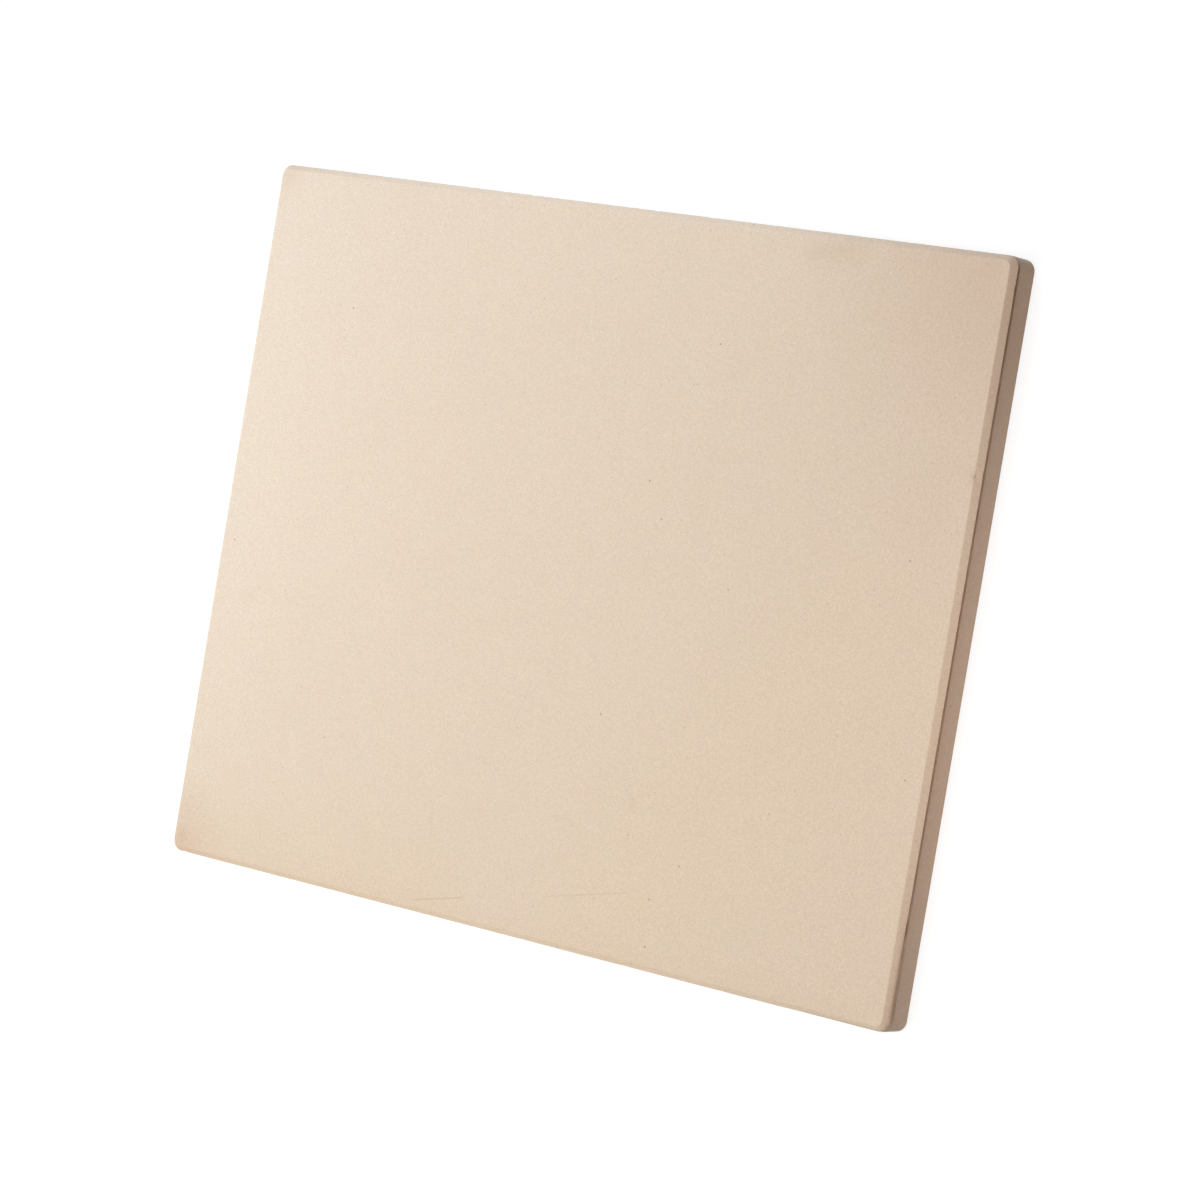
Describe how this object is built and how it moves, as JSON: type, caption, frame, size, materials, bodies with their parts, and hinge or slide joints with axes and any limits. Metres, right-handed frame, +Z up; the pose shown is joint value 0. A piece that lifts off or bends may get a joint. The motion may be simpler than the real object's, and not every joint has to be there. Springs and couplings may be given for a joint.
{
  "type": "pizza stone",
  "caption": "Flat rectangular baking stone with rounded corners, a bevelled baking face and a fine mould line round its side. It lies on an oven rack to bake pizza and bread.",
  "frame": {"origin": "centre of the underside", "axes": "+X along the long side, +Y along the short side, +Z up, out of the baking face"},
  "size_m": [0.38, 0.3, 0.015],
  "materials": {
    "cordierite": "matte"
  },
  "bodies": {
    "root": {"stone_slab": "cordierite"}
  },
  "joints": []
}
